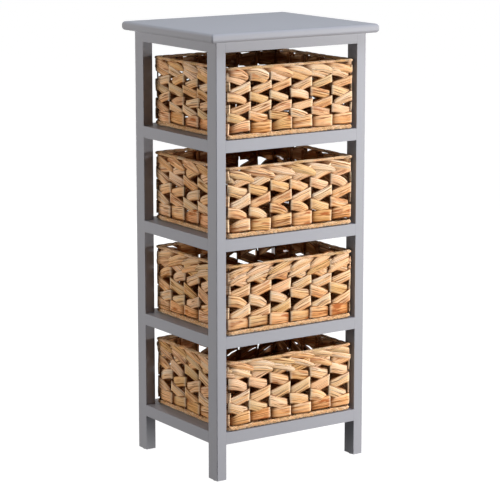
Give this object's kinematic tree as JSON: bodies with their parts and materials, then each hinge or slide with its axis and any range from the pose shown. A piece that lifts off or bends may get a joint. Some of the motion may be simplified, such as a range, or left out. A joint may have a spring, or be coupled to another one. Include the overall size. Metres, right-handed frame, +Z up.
{
  "type": "basket storage unit",
  "caption": "Tall narrow open stand in painted wood that holds woven pull-out baskets one above the other under a flat top board with rounded edges.",
  "frame": {"origin": "on the floor under the middle of the top board", "axes": "+Z up, +X to the right as seen from the front, -Y towards the front, where the baskets pull out"},
  "size_m": [0.402, 0.34, 0.9],
  "materials": {
    "painted_wood": "satin grey paint",
    "bare_wood": "bare turned wood",
    "screw_steel": "zinc-plated",
    "glide_plastic": "matte",
    "basket_wire": "satin brown paint",
    "woven_hyacinth": "matte woven plant strips"
  },
  "bodies": {
    "frame": {"top_board": "painted_wood", "leg_front_left": "painted_wood", "leg_front_right": "painted_wood", "leg_back_left": "painted_wood", "leg_back_right": "painted_wood", "rail_front_1": "painted_wood", "rail_back_1": "painted_wood", "rail_left_1": "painted_wood", "rail_right_1": "painted_wood", "rail_front_2": "painted_wood", "rail_back_2": "painted_wood", "rail_left_2": "painted_wood", "rail_right_2": "painted_wood", "rail_front_3": "painted_wood", "rail_back_3": "painted_wood", "rail_left_3": "painted_wood", "rail_right_3": "painted_wood", "rail_front_4": "painted_wood", "rail_back_4": "painted_wood", "rail_left_4": "painted_wood", "rail_right_4": "painted_wood", "rail_front_5": "painted_wood", "rail_back_5": "painted_wood", "rail_left_5": "painted_wood", "rail_right_5": "painted_wood", "slat_left_1": "painted_wood", "slat_right_1": "painted_wood", "slat_left_2": "painted_wood", "slat_right_2": "painted_wood", "slat_left_3": "painted_wood", "slat_right_3": "painted_wood", "slat_left_4": "painted_wood", "slat_right_4": "painted_wood", "rail_dowels": "bare_wood", "slat_dowels": "bare_wood", "top_screws": "screw_steel", "foot_glides": "glide_plastic"},
    "basket_1": {"basket_1_wire_frame": "basket_wire", "basket_1_walls": "woven_hyacinth", "basket_1_rim": "woven_hyacinth", "basket_1_base_edge": "woven_hyacinth", "basket_1_floor": "woven_hyacinth"},
    "basket_2": {"basket_2_wire_frame": "basket_wire", "basket_2_walls": "woven_hyacinth", "basket_2_rim": "woven_hyacinth", "basket_2_base_edge": "woven_hyacinth", "basket_2_floor": "woven_hyacinth"},
    "basket_3": {"basket_3_wire_frame": "basket_wire", "basket_3_walls": "woven_hyacinth", "basket_3_rim": "woven_hyacinth", "basket_3_base_edge": "woven_hyacinth", "basket_3_floor": "woven_hyacinth"},
    "basket_4": {"basket_4_wire_frame": "basket_wire", "basket_4_walls": "woven_hyacinth", "basket_4_rim": "woven_hyacinth", "basket_4_base_edge": "woven_hyacinth", "basket_4_floor": "woven_hyacinth"}
  },
  "joints": [
    {"name": "basket_1_slide", "type": "slide", "parent": "frame", "child": "basket_1", "axis": [0, -1, 0], "range_m": [0, 0.3]},
    {"name": "basket_2_slide", "type": "slide", "parent": "frame", "child": "basket_2", "axis": [0, -1, 0], "range_m": [0, 0.3]},
    {"name": "basket_3_slide", "type": "slide", "parent": "frame", "child": "basket_3", "axis": [0, -1, 0], "range_m": [0, 0.3]},
    {"name": "basket_4_slide", "type": "slide", "parent": "frame", "child": "basket_4", "axis": [0, -1, 0], "range_m": [0, 0.3]}
  ]
}
